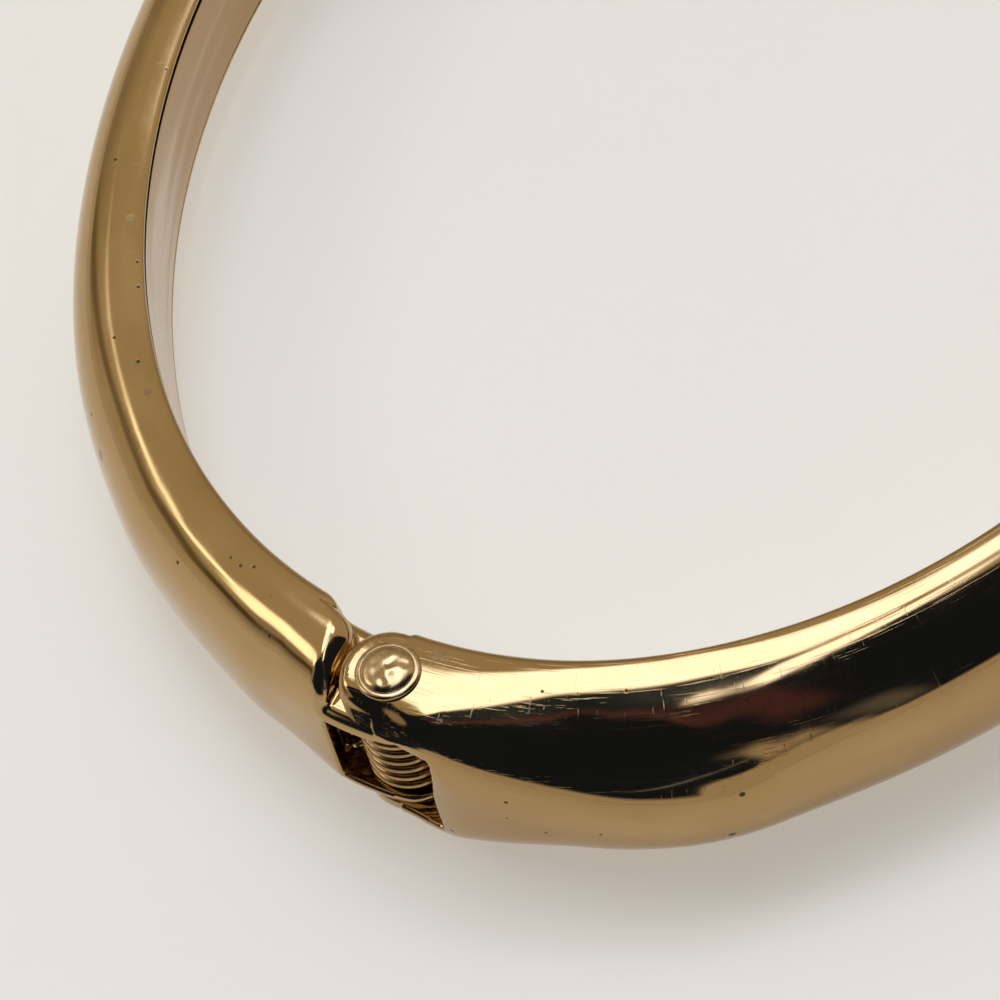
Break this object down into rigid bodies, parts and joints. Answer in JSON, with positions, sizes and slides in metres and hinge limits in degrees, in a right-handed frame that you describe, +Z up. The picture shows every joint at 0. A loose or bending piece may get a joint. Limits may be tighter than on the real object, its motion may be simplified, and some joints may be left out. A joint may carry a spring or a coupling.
{
  "type": "hinged bangle",
  "caption": "Oval gold-tone bangle in two hollow arms, joined at one end by a sprung pin hinge and open at the other.",
  "frame": {"origin": "centre of the oval wrist hollow, at the level of the surface that the bangle lies on", "axes": "+X from the hinge to the free ends, +Y from the domed front arm to the slim back arm, +Z up, across the band"},
  "size_m": [0.07, 0.0547, 0.0093],
  "materials": {
    "arm_gold": "polished gold-tone plate",
    "plate_gold": "polished gold-tone plate",
    "pin_gold": "hammered gold-tone rivet heads",
    "spring_wire": "drawn wire, gold-tone plate"
  },
  "bodies": {
    "back": {"back_arm": "arm_gold", "back_plate": "plate_gold"},
    "front": {"front_arm": "arm_gold", "front_plate": "plate_gold", "hinge_pin": "pin_gold", "hinge_spring": "spring_wire"}
  },
  "joints": [
    {"name": "hinge", "type": "hinge", "parent": "back", "child": "front", "pos_m": [-0.03245, 0, 0.00464], "axis": [0, 0, -1], "range_deg": [0, 60], "stiffness_Nm_per_rad": 0.01, "springref_deg": -57.3, "deforming": ["hinge_spring"]}
  ]
}
